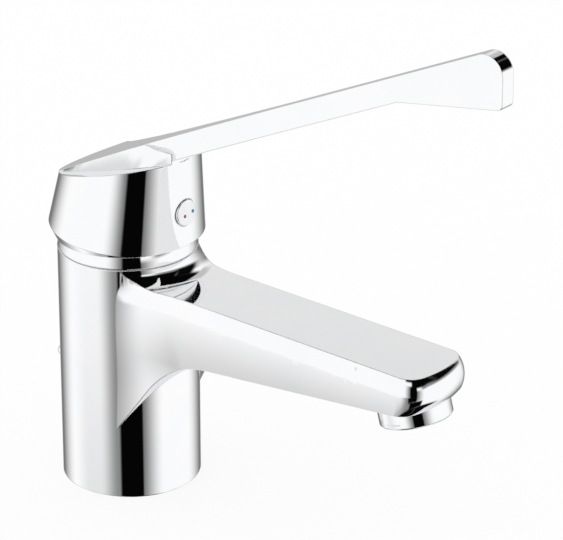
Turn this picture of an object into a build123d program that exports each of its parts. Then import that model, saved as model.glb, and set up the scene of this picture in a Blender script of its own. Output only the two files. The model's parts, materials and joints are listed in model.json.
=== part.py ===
from build123d import *
import os
from math import atan, cos, radians, sin, sqrt, tan

# Elbow lever tap, millimetres, +Z up, spout along +X, origin at the centre of the foot

# Cartridge and body, sized outward from the slot that the spindle swings in
DRIVER_SLOT_HALF = 7.2
DRIVER_RIM = 4.3
DRIVER_R = DRIVER_SLOT_HALF + DRIVER_RIM
DRIVER_STEP = 2.7
DRIVER_FLANGE_R = DRIVER_R + DRIVER_STEP
DRIVER_PLAY = 0.3
CART_BORE_R = DRIVER_FLANGE_R + DRIVER_PLAY
CART_WALL = 2.9
CART_R = CART_BORE_R + CART_WALL
CART_PLAY = 0.3
SEAT_BORE_R = CART_R + CART_PLAY
SEAT_WALL = 6.3
BODY_R = SEAT_BORE_R + SEAT_WALL

# Water ports, placed inward from the edge of the fixed disc
DISC_PLAY = 0.2
FIXED_DISC_R = CART_BORE_R - DISC_PLAY
PORT_R = 2.8
PORT_EDGE = 3.3
PORT_ANGLE = 127.57
PORT_RING_R = FIXED_DISC_R - PORT_EDGE - PORT_R
PORT_X = PORT_RING_R * cos(radians(PORT_ANGLE))
PORT_Y = PORT_RING_R * sin(radians(PORT_ANGLE))
OUTLET_R = 3.4
OUTLET_EDGE = 1.9
OUTLET_X = FIXED_DISC_R - OUTLET_EDGE - OUTLET_R

# Body casting
SPOUT_TOP = 79.07
BODY_RISE = 6.13
BODY_TOP = SPOUT_TOP + BODY_RISE
BODY_WALL = 3.4
FOOT_HOLLOW_TOP = 32.0
BASE_THICK = 3.5
FIXED_DISC_THICK = 3.5
MOVING_DISC_THICK = 3.0
CARRIER_HEIGHT = 5.9
DRIVER_LIFT = 0.3
DRIVER_FLANGE = 2.2
SHOULDER_WALL = 4.3
NUT_SEAT_DEPTH = 6.2
DISC_STACK = BASE_THICK + FIXED_DISC_THICK + MOVING_DISC_THICK + CARRIER_HEIGHT
SEAT_DEPTH = DISC_STACK + DRIVER_LIFT + DRIVER_FLANGE + DRIVER_LIFT + SHOULDER_WALL + NUT_SEAT_DEPTH
SEAT_FLOOR = BODY_TOP - SEAT_DEPTH
NUT_STEP = 1.7
NUT_THREAD_R = SEAT_BORE_R + NUT_STEP
NUT_THREAD_BOTTOM = BODY_TOP - NUT_SEAT_DEPTH

# Spout outline seen from above
SPOUT_HALF_WIDTH = 13.57
NOSE_X = 134.7
NOSE_CORNER_R = 6.5
NOSE_FRONT_R = 40.0
FLARE_R = 44.6
FLARE_GROWTH = 0.45
FLARE_BITE = 0.06
SIDE_BULGE = 1.9
SIDE_BULGE_DEPTH = 5.9
SIDE_LEAN = 0.09
SIDE_LEAN_DEPTH = 24.0
SIDE_STRAIGHT_DEPTH = 40.0
SIDE_DEPTH = 56.0
NOSE_CURL_R = 9.7
NOSE_CURL_DEPTH = 14.75
SIDE_STEPS = 5
LOWER_STEPS = 4

# Spout underside and the arch below its root
UNDER_Z0 = 51.15
UNDER_SLOPE = 0.1165
ARCH_R = 34.35
ARCH_REACH = 26.9
ARCH_X = BODY_R + ARCH_REACH
ARCH_TURN = 57.0
ROOT_FILLET_R = 6.1
PRISM_HALF = 30.0

# Water ways, stud hole and inlets
INLET_R = 5.0
INLET_DEPTH = 12.0
INLET_SPREAD = 1.5
INLET_X = PORT_X
INLET_Y = PORT_Y + INLET_SPREAD
OUTLET_DROP = 4.8
OUTLET_Z = SEAT_FLOOR - OUTLET_DROP
OUTLET_TURN_X = 20.0
STUD_R = 4.0
STUD_X = 12.0
STUD_DEPTH = 10.0
CHANNEL_R = 5.5
CHANNEL_START = (34.0, 64.0)
CHANNEL_END = (118.5, 69.5)

# Aerator
AERATOR_X = 124.36
AERATOR_Z = 58.70
AERATOR_TILT = 15.26
AERATOR_R = 12.17
AERATOR_SHOULDER = 7.6
AERATOR_THREAD_R = 11.0
AERATOR_THREAD_TOP = 12.6
AERATOR_BORE_R = 10.1
AERATOR_LIP_R = 9.3
AERATOR_LIP = 1.4
AERATOR_EDGE = 0.5
FLAT_HEIGHT = 1.7
FLAT_HALF = 11.75
FLAT_BLOCK = 40.0
INSERT_TOP = 8.4
SLOT_COUNT = 12
SLOT_WIDTH = 1.6
SLOT_INNER_R = 3.4
SLOT_OUTER_R = 8.6
SCREEN_THICK = 0.8
SCREEN_HOLE_R = 0.8
SCREEN_PITCH = 2.6
SCREEN_OUTER_R = 8.2
WASHER_THICK = 1.6
WASHER_BORE_R = 8.0
SOCKET_CLEAR = 0.05

# Chain lug on the back of the body
LUG_Z = 34.9
LUG_R = 1.5
LUG_REACH = 7.6
LUG_SINK = 2.4
LUG_HEAD_R = 1.9

# Foot seal
SEAL_EDGE = 0.8
SEAL_WIDTH = 1.6
SEAL_OUTER_R = BODY_R - SEAL_EDGE
SEAL_INNER_R = SEAL_OUTER_R - SEAL_WIDTH
SEAL_THICK = 1.2

# Seam ring and dome collar
SEAM_THICK = 0.45
SEAM_DEPTH = 0.3
SEAM_R = BODY_R - SEAM_DEPTH
DOME_STEP = 0.2
DOME_R = BODY_R + DOME_STEP
DOME_RISE = 7.8
DOME_TOP = BODY_TOP + DOME_RISE
DOME_WALL = 4.1
DOME_BORE_R = BODY_R - DOME_WALL
SPIGOT_WALL = 3.8
SPIGOT_BORE_R = NUT_THREAD_R - SPIGOT_WALL
SPIGOT_CLEAR = 0.05
NUT_DROP = 2.0
NUT_TOP = BODY_TOP - NUT_DROP

# Cartridge
LIFT_DROP = 3.2
LIFT_Z = BODY_TOP - LIFT_DROP
BASE_TOP = SEAT_FLOOR + BASE_THICK
DISC_JOINT_Z = BASE_TOP + FIXED_DISC_THICK
CARRIER_Z = DISC_JOINT_Z + MOVING_DISC_THICK
CARRIER_TOP = CARRIER_Z + CARRIER_HEIGHT
DRIVER_BOTTOM = CARRIER_TOP + DRIVER_LIFT
DRIVER_FLANGE_TOP = DRIVER_BOTTOM + DRIVER_FLANGE
DRIVER_RISE = 4.2
DRIVER_TOP = LIFT_Z + DRIVER_RISE
CART_SHOULDER = DRIVER_FLANGE_TOP + DRIVER_LIFT
NECK_PLAY = 0.35
CART_NECK_BORE_R = DRIVER_R + NECK_PLAY
NECK_WALL = 2.55
CART_NECK_R = CART_NECK_BORE_R + NECK_WALL
CART_DROP = 0.6
CART_TOP = BODY_TOP - CART_DROP
MOVING_DISC_R = 9.2
MOVING_PORT_R = 5.2
MOVING_PORT_DEPTH = 1.5
CARRIER_R = 8.9
NUT_PLAY = 0.5
NUT_BORE_R = CART_NECK_R + NUT_PLAY
NUT_SLOT_COUNT = 6
NUT_SLOT_WIDTH = 3.0
NUT_SLOT_DEPTH = 1.5
ORING_RISE = 14.0
ORING_Z = SEAT_FLOOR + ORING_RISE
ORING_TUBE_R = 0.9
ORING_CLEAR = 0.04
PORT_SEAL_THICK = 1.0
PORT_SEAL_WALL = 1.3
LIMITER_THICK = 1.4
LIMITER_TOP = CART_TOP + LIMITER_THICK
LIMITER_STOP = 2.2

# Spindle and its pivot
STEM_TILT = 7.1
STEM_SIDE = 8.0
STEM_LENGTH = 24.4
STEM_BELOW = 4.0
STEM_EDGE = 0.5
FINGER_R = 2.2
BALL_R = 2.9
BALL_DROP = 11.0
BALL_PLAY = 0.08
STEM_SIDE_PLAY = 0.15
PIN_R = 1.9
PIN_PLAY = 0.04

# Hood, two cones with flat cuts on top
HOOD_AXIS_Z = 92.88
HOOD_TILT = 7.10
HOOD_STEP = 2.55
HOOD_R = BODY_R + HOOD_STEP
HOOD_TAPER = 7.39
HOOD_BELOW = 8.0
HOOD_ABOVE = 36.0
HOOD_WALL = 1.9
RIM_X = 1.2
RIM_Z = 90.5
RIM_TILT = -1.75
RIM_STEP = 1.5
RIM_R = BODY_R + RIM_STEP
RIM_WALL = 1.1
RIM_FLARE = 24.0
RIM_FLARE_HEIGHT = 10.0
TOP_Z0 = 120.02
TOP_SLOPE = 0.4753
ROOF_Z0 = 115.08
ROOF_SLOPE_X = 0.267
ROOF_SLOPE_Y = 0.075
ROOF_WALL = 2.4
HALF_SPACE = 400.0

# Ridge on the hood that runs out into the lever: x, half width at the top, half width at its foot
RIDGE_SECTIONS = (
    (-26.0, 21.5, 21.8),
    (-15.0, 17.0, 17.6),
    (-9.0, 13.0, 16.0),
    (-3.0, 11.0, 15.2),
    (3.0, 9.2, 14.4),
    (9.0, 7.6, 13.4),
    (15.0, 6.8, 11.9),
    (20.0, 6.0, 9.4),
    (26.0, 5.35, 5.4),
)
RIDGE_SINK = 4.0

# Lever blade: x and half width seen from above
BLADE_WIDTHS = (
    (14.0, 6.6),
    (20.0, 5.95),
    (26.0, 5.35),
    (33.0, 4.95),
    (41.0, 4.1),
    (50.0, 3.7),
    (57.0, 3.3),
    (70.0, 2.8),
)
LEVER_UNDER_Z0 = 111.31
LEVER_END_X = 156.8
PADDLE_X = 116.6
PADDLE_SLOPE = 0.183
PADDLE_TOP_R = 6.4
PADDLE_BOTTOM_R = 2.0

# Hood fastening and indicator plug
BOSS_HALF = 7.4
BOSS_BOTTOM = 8.2
BOSS_TOP = 40.0
SOCKET_PLAY = 0.05
PLUG_X = 26.47
PLUG_Z = 103.50
PLUG_TILT = 4.2
PLUG_R = 4.55
PLUG_HOLE_R = 4.9
PLUG_THICK = 1.5
PLUG_PROUD = 0.35
PLUG_EDGE = 0.3
PLUG_STEM_R = 2.6
PLUG_STEM = 4.0
FRONT_TUBE_R = 6.6
FRONT_BORE_R = 3.1
SCREW_R = 2.5
SCREW_TIP_X = 7.0
SCREW_END_X = 15.0
SCREW_KEY = 2.5
SCREW_KEY_DEPTH = 3.0
DOT_R = 0.62
DOT_SINK = 0.3
DOT_PROUD = 0.05
RED_DOT = (-1.0, -1.05)
BLUE_DOT = (3.0, -0.35)

OUT = "parts"


def disc(radius, bottom, top):
    """Solid cylinder about Z between two heights."""
    return Pos(0, 0, bottom) * Cylinder(radius, top - bottom, align=FOOT)


def ring(outer, inner, bottom, top):
    """Cylinder with a round hole through it."""
    return disc(outer, bottom, top) - disc(inner, bottom, top)


def save(name, shape):
    """Write one node."""
    export_step(shape, os.path.join(OUT, name + ".step"))


FOOT = (Align.CENTER, Align.CENTER, Align.MIN)


# Body casting
def side_bulge(depth):
    """How far the spout's side stands out at a depth: round, leaning in, then upright."""
    if depth <= SIDE_BULGE_DEPTH:
        arc_r = (SIDE_BULGE_DEPTH ** 2 + SIDE_BULGE ** 2) / (SIDE_BULGE + SIDE_BULGE)
        return sqrt(arc_r ** 2 - (SIDE_BULGE_DEPTH - depth) ** 2) - (arc_r - SIDE_BULGE)
    run = SIDE_LEAN_DEPTH - SIDE_BULGE_DEPTH
    leaning = min(depth - SIDE_BULGE_DEPTH, run)
    inward = SIDE_LEAN * leaning ** 2 / (run + run)
    ease = SIDE_STRAIGHT_DEPTH - SIDE_LEAN_DEPTH
    below = min(max(depth - SIDE_LEAN_DEPTH, 0), ease)
    return SIDE_BULGE - inward - SIDE_LEAN * (below - below ** 2 / (ease + ease))


def arc_between(centre, radius, start, end):
    """Short arc about a centre from start to end."""
    middle = Vector((start[0] + end[0]) / 2 - centre[0], (start[1] + end[1]) / 2 - centre[1])
    middle = middle.normalized() * radius
    return ThreePointArc(start, (centre[0] + middle.X, centre[1] + middle.Y), end)


def mirrored(point):
    return (point[0], -point[1])


def nose_bulge(depth):
    """How far the nose stands out, curling in again below its widest line."""
    drop = min(depth, NOSE_CURL_DEPTH) - SIDE_BULGE_DEPTH
    return SIDE_BULGE - NOSE_CURL_R + sqrt(NOSE_CURL_R ** 2 - drop ** 2)


def spout_outline(depth):
    """Face of the spout's plan at a depth below its top, flared into the body."""
    offset = nose_bulge(depth)
    width = SPOUT_HALF_WIDTH + side_bulge(depth)
    corner = NOSE_CORNER_R + offset
    front = NOSE_FRONT_R + offset
    tip = NOSE_X + offset
    flare_r = FLARE_R + FLARE_GROWTH * depth
    reach = BODY_R + flare_r - FLARE_BITE
    flare = (sqrt(reach ** 2 - (width + flare_r) ** 2), width + flare_r)
    inside = (BODY_R - FLARE_BITE) / reach
    start = (flare[0] * inside, flare[1] * inside)
    root = (flare[0], width)
    knee = (tip - front + sqrt((front - corner) ** 2 - (width - corner) ** 2), width - corner)
    bend = (knee[0], width)
    span = front / (front - corner)
    cheek = (tip - front + (knee[0] - tip + front) * span, knee[1] * span)
    edges = [
        arc_between(flare, flare_r, start, root),
        Line(root, bend),
        arc_between(knee, corner, bend, cheek),
        ThreePointArc(cheek, (tip, 0), mirrored(cheek)),
        arc_between(mirrored(knee), corner, mirrored(cheek), mirrored(bend)),
        Line(mirrored(bend), mirrored(root)),
        arc_between(mirrored(flare), flare_r, mirrored(root), mirrored(start)),
        Line(mirrored(start), (0, 0)),
        Line((0, 0), start),
    ]
    return Pos(0, 0, SPOUT_TOP - depth) * make_face(edges)


def under_z(x):
    """Height of the spout's underside plane."""
    return UNDER_Z0 + UNDER_SLOPE * x


def spout_profile():
    """Side view of spout and arch, as a prism across the spout."""
    slope = atan(UNDER_SLOPE)
    turn = radians(ARCH_TURN)
    centre = (ARCH_X, under_z(ARCH_X) - ARCH_R / cos(slope))
    meet = (centre[0] - ARCH_R * sin(slope), centre[1] + ARCH_R * cos(slope))
    leave = (centre[0] - ARCH_R * sin(turn), centre[1] + ARCH_R * cos(turn))
    foot = (0, leave[1] - leave[0] * tan(turn))
    end = (NOSE_X + BODY_R, under_z(NOSE_X + BODY_R))
    edges = [
        Line(foot, leave),
        arc_between(centre, ARCH_R, leave, meet),
        Line(meet, end),
        Line(end, (end[0], SPOUT_TOP)),
        Line((end[0], SPOUT_TOP), (0, SPOUT_TOP)),
        Line((0, SPOUT_TOP), foot),
    ]
    return extrude(Plane.XZ * make_face(edges), PRISM_HALF, both=True)


def spout_solid():
    """Spout with bulged sides, sloping underside, arch and root fillet."""
    step = NOSE_CURL_DEPTH / SIDE_STEPS
    upper = loft([spout_outline(step * index) for index in range(SIDE_STEPS + 1)])
    drop = (SIDE_DEPTH - NOSE_CURL_DEPTH) / LOWER_STEPS
    lower = loft([spout_outline(NOSE_CURL_DEPTH + drop * index) for index in range(LOWER_STEPS + 1)])
    spout = (upper + lower) & spout_profile()
    return spout + root_fillet()


def root_fillet():
    """Hollow fillet between the spout's top and the body."""
    corner = (BODY_R + ROOT_FILLET_R, SPOUT_TOP + ROOT_FILLET_R)
    top = (BODY_R, SPOUT_TOP + ROOT_FILLET_R)
    out = (BODY_R + ROOT_FILLET_R, SPOUT_TOP)
    edges = [
        Line((BODY_R / 2, SPOUT_TOP), (BODY_R / 2, top[1])),
        Line((BODY_R / 2, top[1]), top),
        arc_between(corner, ROOT_FILLET_R, top, out),
        Line(out, (BODY_R / 2, SPOUT_TOP)),
    ]
    skirt = revolve(Plane.XZ * make_face(edges), Axis.Z)
    return skirt & extrude(spout_outline(0), ROOT_FILLET_R)


def along(start, end, radius):
    """Round bar between two points."""
    a = Vector(*start)
    run = Vector(*end) - a
    return extrude(Plane(origin=a, z_dir=run.normalized()) * Circle(radius), run.length)


def aerator_place():
    """Frame of the outlet, local Z up into the spout."""
    tilt = radians(AERATOR_TILT)
    up = (-sin(tilt), 0, cos(tilt))
    return Plane(origin=(AERATOR_X, 0, AERATOR_Z), x_dir=(cos(tilt), 0, sin(tilt)), z_dir=up)


def body_casting():
    """Body and spout with seat, water ways, foot hollow and aerator socket."""
    shell = disc(BODY_R, 0, BODY_TOP) + spout_solid()
    shell -= disc(BODY_R - BODY_WALL, 0, FOOT_HOLLOW_TOP)
    shell -= disc(SEAT_BORE_R, SEAT_FLOOR, BODY_TOP)
    shell -= disc(NUT_THREAD_R, NUT_THREAD_BOTTOM, BODY_TOP)
    shell -= ring(SEAL_OUTER_R, SEAL_INNER_R, 0, SEAL_THICK)
    for side in (1, -1):
        inlet_top = FOOT_HOLLOW_TOP + INLET_DEPTH
        shell -= Pos(INLET_X, side * INLET_Y, 0) * disc(INLET_R, FOOT_HOLLOW_TOP, inlet_top)
        shell -= Pos(PORT_X, side * PORT_Y, 0) * disc(PORT_R, inlet_top, SEAT_FLOOR)
    shell -= Pos(STUD_X, 0, 0) * disc(STUD_R, FOOT_HOLLOW_TOP, FOOT_HOLLOW_TOP + STUD_DEPTH)
    turns = (
        (OUTLET_X, 0, SEAT_FLOOR),
        (OUTLET_X, 0, OUTLET_Z),
        (OUTLET_TURN_X, 0, OUTLET_Z),
        (CHANNEL_START[0], 0, CHANNEL_START[1]),
    )
    for start, end in zip(turns, turns[1:]):
        shell -= along(start, end, OUTLET_R)
        shell -= Pos(*end) * Sphere(OUTLET_R)
    shell -= along((CHANNEL_START[0], 0, CHANNEL_START[1]), (CHANNEL_END[0], 0, CHANNEL_END[1]), CHANNEL_R)
    socket = disc(AERATOR_R + SOCKET_CLEAR, -AERATOR_SHOULDER, AERATOR_SHOULDER)
    socket += disc(AERATOR_THREAD_R, AERATOR_SHOULDER, AERATOR_THREAD_TOP + WASHER_THICK)
    shell -= aerator_place() * socket
    shell -= lug_hole()
    return shell


def lug_axis(start_x, end_x, radius):
    return along((start_x, 0, LUG_Z), (end_x, 0, LUG_Z), radius)


def lug_hole():
    return lug_axis(-BODY_R + LUG_SINK, -BODY_R - LUG_SINK, LUG_R)


def chain_lug():
    """Round pin with a small head, screwed into the back of the body."""
    neck = lug_axis(-BODY_R + LUG_SINK, -BODY_R - LUG_REACH, LUG_R)
    head = Pos(-BODY_R - LUG_REACH, 0, LUG_Z) * Sphere(LUG_HEAD_R)
    return neck + head


# Collar and rings
def dome_collar():
    """Rounded collar between body and hood, with a spigot into the body."""
    bottom = BODY_TOP + SEAM_THICK
    ball = Pos(0, 0, LIFT_Z) * Sphere(DOME_R)
    dome = (ball & disc(DOME_R + DOME_R, bottom, DOME_TOP)) - disc(DOME_BORE_R, bottom, DOME_TOP)
    flange = ring(DOME_BORE_R + SEAM_THICK, SPIGOT_BORE_R, bottom, bottom + SEAM_THICK)
    spigot = ring(NUT_THREAD_R - SPIGOT_CLEAR, SPIGOT_BORE_R, NUT_TOP, bottom)
    return dome + flange + spigot


def seam_ring():
    """Dark ring between body and collar."""
    return ring(SEAM_R, NUT_THREAD_R, BODY_TOP, BODY_TOP + SEAM_THICK)


def base_seal_ring():
    return ring(SEAL_OUTER_R, SEAL_INNER_R, 0, SEAL_THICK)


def clamp_nut():
    """Threaded ring that holds the cartridge down, with spanner slots."""
    nut = ring(NUT_THREAD_R, NUT_BORE_R, NUT_THREAD_BOTTOM, NUT_TOP)
    slot = Pos(NUT_BORE_R, 0, NUT_TOP) * Box(NUT_SLOT_WIDTH, NUT_SLOT_WIDTH, NUT_SLOT_DEPTH * 2)
    for index in range(NUT_SLOT_COUNT):
        nut -= Rot(0, 0, 360 * index / NUT_SLOT_COUNT) * slot
    return nut


# Cartridge
def port_places():
    """Centres of the two inlets and of the outlet."""
    return ((PORT_X, PORT_Y), (PORT_X, -PORT_Y), (OUTLET_X, 0))


def port_rings(bottom):
    """Three small seals around the ports, as one group."""
    rings = [
        Pos(x, y, 0) * ring(PORT_R + PORT_SEAL_WALL, PORT_R, bottom, bottom + PORT_SEAL_THICK)
        for x, y in port_places()
    ]
    return Compound(children=rings)


def with_ports(shape, bottom, top):
    for x, y in port_places():
        shape -= Pos(x, y, 0) * disc(PORT_R, bottom, top)
    return shape


def cartridge_base():
    """Bottom plate of the cartridge with seal seats on both faces."""
    plate = with_ports(disc(CART_R, SEAT_FLOOR, BASE_TOP), SEAT_FLOOR, BASE_TOP)
    for x, y in port_places():
        for bottom in (SEAT_FLOOR, BASE_TOP - PORT_SEAL_THICK):
            plate -= Pos(x, y, 0) * disc(PORT_R + PORT_SEAL_WALL, bottom, bottom + PORT_SEAL_THICK)
    return plate


def fixed_disc():
    return with_ports(disc(FIXED_DISC_R, BASE_TOP, DISC_JOINT_Z), BASE_TOP, DISC_JOINT_Z)


def ball_x():
    """Place of the spindle's ball along X at rest."""
    return -BALL_DROP * sin(radians(STEM_TILT))


def moving_disc():
    """Ceramic disc that slides over the fixed one, hollow below."""
    plate = Pos(ball_x(), 0, 0) * disc(MOVING_DISC_R, DISC_JOINT_Z, CARRIER_Z)
    return plate - Pos(ball_x(), 0, 0) * disc(MOVING_PORT_R, DISC_JOINT_Z, DISC_JOINT_Z + MOVING_PORT_DEPTH)


def disc_carrier():
    """Carrier above the moving disc with a slot for the ball."""
    block = disc(CARRIER_R, CARRIER_Z, CARRIER_TOP)
    reach = BALL_R + BALL_PLAY
    floor = LIFT_Z - BALL_DROP - BALL_R - BALL_PLAY * 4
    slot = Pos(0, 0, floor) * Box(reach * 2, reach * 2, CARRIER_TOP, align=FOOT)
    return Pos(ball_x(), 0, 0) * (block - slot)


def spindle_driver():
    """Turning middle of the cartridge, slotted for the spindle."""
    turn = disc(DRIVER_FLANGE_R, DRIVER_BOTTOM, DRIVER_FLANGE_TOP) + disc(DRIVER_R, DRIVER_BOTTOM, DRIVER_TOP)
    width = STEM_SIDE + STEM_SIDE_PLAY * 2
    slot = Pos(0, 0, DRIVER_BOTTOM) * Box(DRIVER_SLOT_HALF * 2, width, DRIVER_TOP, align=FOOT)
    return turn - slot - pivot_bar(PIN_R)


def pivot_bar(radius):
    return along((0, -DRIVER_R, LIFT_Z), (0, DRIVER_R, LIFT_Z), radius)


def pivot_pin():
    return pivot_bar(PIN_R) & disc(DRIVER_R, DRIVER_BOTTOM, DRIVER_TOP)


def cartridge_housing():
    """Outer shell of the cartridge with neck and ring groove."""
    shell = disc(CART_R, BASE_TOP, NUT_THREAD_BOTTOM) + disc(CART_NECK_R, BASE_TOP, CART_TOP)
    shell -= disc(CART_BORE_R, BASE_TOP, CART_SHOULDER)
    shell -= disc(CART_NECK_BORE_R, BASE_TOP, CART_TOP)
    return shell - Pos(0, 0, ORING_Z) * Torus(SEAT_BORE_R - ORING_TUBE_R, ORING_TUBE_R)


def housing_o_ring():
    return Pos(0, 0, ORING_Z) * Torus(SEAT_BORE_R - ORING_TUBE_R - ORING_CLEAR, ORING_TUBE_R - ORING_CLEAR)


def limiter_ring():
    """Hot water stop that sits on the cartridge's neck."""
    band = ring(CART_NECK_R, CART_NECK_BORE_R, CART_TOP, LIMITER_TOP)
    notch = Pos(-CART_NECK_R, 0, LIMITER_TOP) * Box(LIMITER_STOP * 3, LIMITER_STOP, LIMITER_STOP / 2)
    return band - notch


# Spindle and hood share the tilted stem axis through the pivot
def stem_place():
    tilt = radians(STEM_TILT)
    return Plane(origin=(0, 0, LIFT_Z), x_dir=(cos(tilt), 0, -sin(tilt)), z_dir=(sin(tilt), 0, cos(tilt)))


def spindle():
    """Square stem above the pivot, finger and ball below it."""
    stem = Pos(0, 0, -STEM_BELOW) * Box(STEM_SIDE, STEM_SIDE, STEM_LENGTH + STEM_BELOW, align=FOOT)
    stem = chamfer(stem.edges().group_by(Axis.Z)[-1], STEM_EDGE)
    stem += Pos(0, 0, -BALL_DROP) * Cylinder(FINGER_R, BALL_DROP, align=FOOT)
    stem += Pos(0, 0, -BALL_DROP) * Sphere(BALL_R)
    return stem_place() * stem - pivot_bar(PIN_R + PIN_PLAY)


def cone(bottom_r, top_r, bottom, top):
    return Pos(0, 0, bottom) * Cone(bottom_r, top_r, top - bottom, align=FOOT)


def hood_cones(wall, rim_wall):
    """Two cones that bound the hood, moved in by a wall thickness."""
    tilt = radians(HOOD_TILT)
    slope = tan(radians(HOOD_TAPER))
    upper = cone(
        HOOD_R - wall + HOOD_BELOW * slope, HOOD_R - wall - HOOD_ABOVE * slope, -HOOD_BELOW, HOOD_ABOVE
    )
    up = (sin(tilt), 0, cos(tilt))
    place = Plane(origin=(0, 0, HOOD_AXIS_Z), x_dir=(cos(tilt), 0, -sin(tilt)), z_dir=up)
    lean = radians(RIM_TILT)
    wide = RIM_R - rim_wall + RIM_FLARE_HEIGHT * tan(radians(RIM_FLARE))
    lower = cone(RIM_R - rim_wall, wide, 0, RIM_FLARE_HEIGHT) + disc(wide, RIM_FLARE_HEIGHT, HOOD_ABOVE)
    rim_up = (sin(lean), 0, cos(lean))
    rim = Plane(origin=(RIM_X, 0, RIM_Z), x_dir=(cos(lean), 0, -sin(lean)), z_dir=rim_up)
    return (place * upper) & (rim * lower)


def above_plane(height, slope_x, slope_y):
    """Everything above a sloping plane, as a large block."""
    up = Vector(-slope_x, -slope_y, 1).normalized()
    return Plane(origin=(0, 0, height), z_dir=up) * Box(HALF_SPACE, HALF_SPACE, HALF_SPACE, align=FOOT)


def above_roof(drop):
    """Everything above the two roof planes beside the ridge."""
    halves = []
    for side in (1, -1):
        half = Pos(0, side * HALF_SPACE / 2, 0) * Box(HALF_SPACE * 2, HALF_SPACE, HALF_SPACE * 2)
        halves.append(above_plane(ROOF_Z0 - drop, ROOF_SLOPE_X, side * ROOF_SLOPE_Y) & half)
    return halves[0] + halves[1]


def top_z(x):
    return TOP_Z0 + TOP_SLOPE * x


def ridge():
    """Ridge on the hood, wide at the back and lever wide at the front."""
    sections = []
    for x, top_half, foot_half in RIDGE_SECTIONS:
        foot_z = ROOF_Z0 + ROOF_SLOPE_X * x + ROOF_SLOPE_Y * foot_half
        corners = ((-foot_half, foot_z - RIDGE_SINK), (foot_half, foot_z - RIDGE_SINK), (foot_half, foot_z))
        corners += ((top_half, top_z(x)), (-top_half, top_z(x)), (-foot_half, foot_z))
        across = Plane(origin=(x, 0, 0), x_dir=(0, 1, 0), z_dir=(1, 0, 0))
        sections.append(across * make_face(Polyline(*corners, close=True)))
    return loft(sections, ruled=True)


def blade():
    """Long lever with its paddle end."""
    under_end = LEVER_UNDER_Z0 + TOP_SLOPE * PADDLE_X
    paddle_end = under_end + PADDLE_SLOPE * (LEVER_END_X - PADDLE_X)
    start = BLADE_WIDTHS[0][0]
    side = Polyline(
        (start, LEVER_UNDER_Z0 + TOP_SLOPE * start),
        (PADDLE_X, under_end),
        (LEVER_END_X, paddle_end),
        (LEVER_END_X, top_z(LEVER_END_X)),
        (start, top_z(start)),
        close=True,
    )
    plate = extrude(Plane.XZ * make_face(side), PRISM_HALF, both=True)
    upright = plate.edges().filter_by(Axis.Y).group_by(Axis.X)[-1]
    plate = fillet(upright.sort_by(Axis.Z)[-1], PADDLE_TOP_R)
    upright = plate.edges().filter_by(Axis.Y).group_by(Axis.X)[-1]
    plate = fillet(upright.sort_by(Axis.Z)[0], PADDLE_BOTTOM_R)
    end_half = BLADE_WIDTHS[-1][1]
    right = list(BLADE_WIDTHS) + [(LEVER_END_X + STEM_SIDE, end_half)]
    left = [(x, -half) for x, half in reversed(right)]
    plan = Polyline(*right, *left, close=True)
    width = extrude(make_face(plan), HALF_SPACE)
    return plate & width


def lever_hood():
    """Hood and lever in one casting, with socket boss and screw tube."""
    outer = hood_cones(0, 0)
    shell = (outer - above_roof(0)) + (outer & ridge())
    hollow = hood_cones(HOOD_WALL, RIM_WALL) - above_roof(ROOF_WALL)
    boss = Pos(0, 0, BOSS_BOTTOM) * Box(BOSS_HALF * 2, BOSS_HALF * 2, BOSS_TOP, align=FOOT)
    tube = along((0, 0, PLUG_Z), (HOOD_R + BODY_R, 0, PLUG_Z), FRONT_TUBE_R)
    shell -= hollow - (stem_place() * boss) - tube
    shell += blade()
    shell -= above_plane(TOP_Z0, TOP_SLOPE, 0)
    side = STEM_SIDE + SOCKET_PLAY * 2
    socket = Box(side, side, STEM_LENGTH + SOCKET_PLAY, align=FOOT)
    shell -= stem_place() * socket
    shell -= along((0, 0, PLUG_Z), (SCREW_END_X, 0, PLUG_Z), SCREW_R)
    shell -= along((SCREW_END_X, 0, PLUG_Z), (HOOD_R + BODY_R, 0, PLUG_Z), FRONT_BORE_R)
    shell -= plug_place() * disc(PLUG_HOLE_R, -PLUG_THICK, PLUG_THICK)
    return shell


def plug_place():
    """Frame of the indicator plug, local Z out of the hood."""
    tilt = radians(PLUG_TILT)
    return Plane(origin=(PLUG_X, 0, PLUG_Z), x_dir=(0, 1, 0), z_dir=(cos(tilt), 0, sin(tilt)))


def grub_screw():
    """Set screw between boss and stem with a hexagon socket."""
    screw = along((SCREW_TIP_X, 0, PLUG_Z), (SCREW_END_X, 0, PLUG_Z), SCREW_R)
    key = Plane(origin=(SCREW_END_X, 0, PLUG_Z), z_dir=(-1, 0, 0)) * RegularPolygon(SCREW_KEY / 2, 6)
    return screw - extrude(key, SCREW_KEY_DEPTH)


def indicator_plug():
    """Round plug with a stem, sunk for the two dots."""
    head = disc(PLUG_R, -PLUG_THICK, PLUG_PROUD)
    head = fillet(head.edges().group_by(Axis.Z)[-1], PLUG_EDGE)
    head += disc(PLUG_STEM_R, -PLUG_THICK - PLUG_STEM, -PLUG_THICK)
    for x, y in (RED_DOT, BLUE_DOT):
        head -= Pos(x, y, 0) * disc(DOT_R, PLUG_PROUD - DOT_SINK, PLUG_PROUD)
    return plug_place() * head


def dot(place):
    spot = disc(DOT_R, PLUG_PROUD - DOT_SINK, PLUG_PROUD + DOT_PROUD)
    return plug_place() * Pos(place[0], place[1], 0) * spot


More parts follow.
